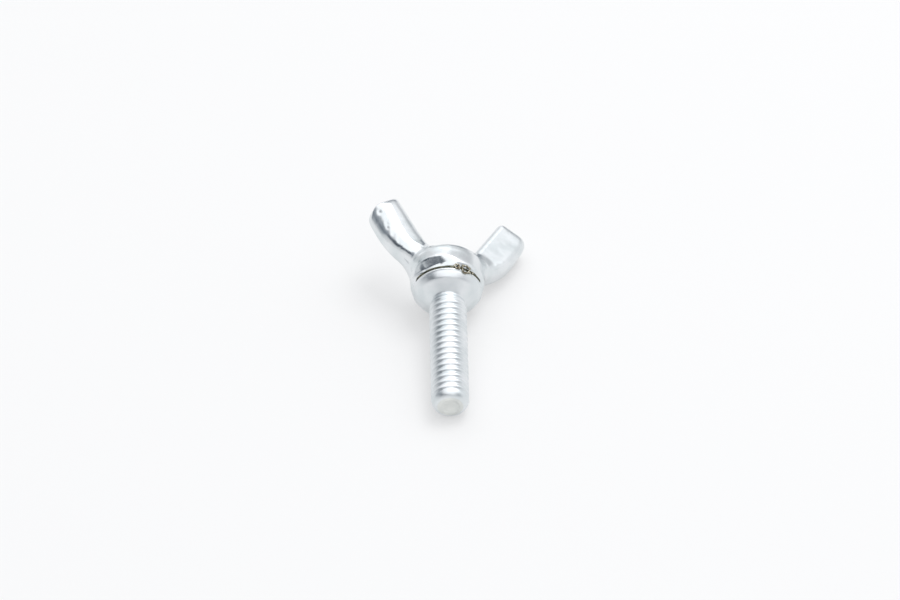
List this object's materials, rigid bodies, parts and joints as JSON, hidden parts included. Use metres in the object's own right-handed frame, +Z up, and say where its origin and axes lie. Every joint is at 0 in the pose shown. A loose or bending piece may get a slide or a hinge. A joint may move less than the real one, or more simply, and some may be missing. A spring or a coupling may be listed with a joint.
{
  "type": "wing screw",
  "caption": "Screw with two solid wings for turning it by hand, lying on its side as it comes to rest.",
  "frame": {"origin": "centre of the bounding box on the table, under the screw lying at rest", "axes": "+Y along the screw from its tip towards the wings, in the table's plane; +Z up from the table"},
  "size_m": [0.026, 0.0438, 0.0151],
  "materials": {
    "zinc_plate": "bright zinc plate on steel"
  },
  "bodies": {
    "root": {"screw": "zinc_plate", "wing_head": "zinc_plate"}
  },
  "joints": []
}
